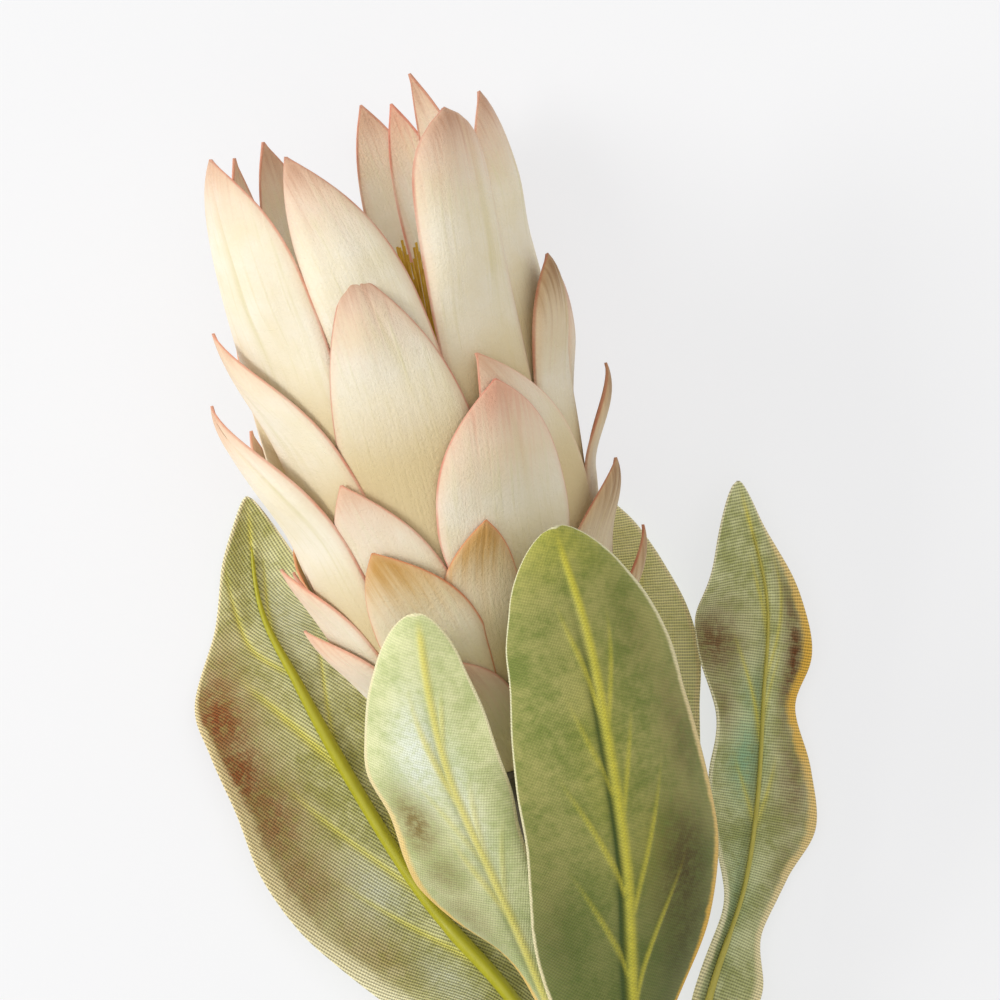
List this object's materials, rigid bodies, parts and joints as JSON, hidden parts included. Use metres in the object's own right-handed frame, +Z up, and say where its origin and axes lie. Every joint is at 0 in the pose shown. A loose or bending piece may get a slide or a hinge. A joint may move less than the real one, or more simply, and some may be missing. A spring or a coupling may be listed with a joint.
{
  "type": "artificial protea flower stem",
  "caption": "Fabric protea flower head on a cut stem with pointed layered bracts and broad leaves, lying down, for arranging in a vase.",
  "frame": {"origin": "centre of the bounding box in plan, on the surface that the stem lies on", "axes": "+Y along the stem, from its cut end towards the head; +Z up from the surface"},
  "size_m": [0.1264, 0.3596, 0.0739],
  "materials": {
    "bract_felt": "matte",
    "leaf_cloth": "matte",
    "rib_plastic": "satin",
    "stem_plastic": "satin",
    "collar_tape": "matte",
    "core_foam": "matte",
    "stamen_fibre": "matte"
  },
  "bodies": {
    "root": {"base_bract_01": "bract_felt", "base_bract_02": "bract_felt", "base_bract_03": "bract_felt", "base_bract_04": "bract_felt", "base_bract_05": "bract_felt", "base_bract_06": "bract_felt", "base_bract_07": "bract_felt", "flower_core": "core_foam", "leaf_back_left": "leaf_cloth", "leaf_back_left_rib": "rib_plastic", "leaf_back_right": "leaf_cloth", "leaf_back_right_rib": "rib_plastic", "leaf_front_left": "leaf_cloth", "leaf_front_left_rib": "rib_plastic", "leaf_front_right": "leaf_cloth", "leaf_front_right_rib": "rib_plastic", "leaf_side_right": "leaf_cloth", "leaf_side_right_rib": "rib_plastic", "lower_bract_01": "bract_felt", "lower_bract_02": "bract_felt", "lower_bract_03": "bract_felt", "lower_bract_04": "bract_felt", "lower_bract_05": "bract_felt", "lower_bract_06": "bract_felt", "lower_bract_07": "bract_felt", "lower_bract_08": "bract_felt", "lower_bract_09": "bract_felt", "middle_bract_01": "bract_felt", "middle_bract_02": "bract_felt", "middle_bract_03": "bract_felt", "middle_bract_04": "bract_felt", "middle_bract_05": "bract_felt", "middle_bract_06": "bract_felt", "middle_bract_07": "bract_felt", "middle_bract_08": "bract_felt", "middle_bract_09": "bract_felt", "stamen_tuft": "stamen_fibre", "stem": "stem_plastic", "stem_collar": "collar_tape", "tall_bract_01": "bract_felt", "tall_bract_02": "bract_felt", "tall_bract_03": "bract_felt", "tall_bract_04": "bract_felt", "tall_bract_05": "bract_felt", "tall_bract_06": "bract_felt", "tall_bract_07": "bract_felt", "tall_bract_08": "bract_felt", "tall_bract_09": "bract_felt", "tall_bract_10": "bract_felt", "tall_bract_11": "bract_felt", "upper_bract_01": "bract_felt", "upper_bract_02": "bract_felt", "upper_bract_03": "bract_felt", "upper_bract_04": "bract_felt", "upper_bract_05": "bract_felt", "upper_bract_06": "bract_felt", "upper_bract_07": "bract_felt", "upper_bract_08": "bract_felt"}
  },
  "joints": []
}
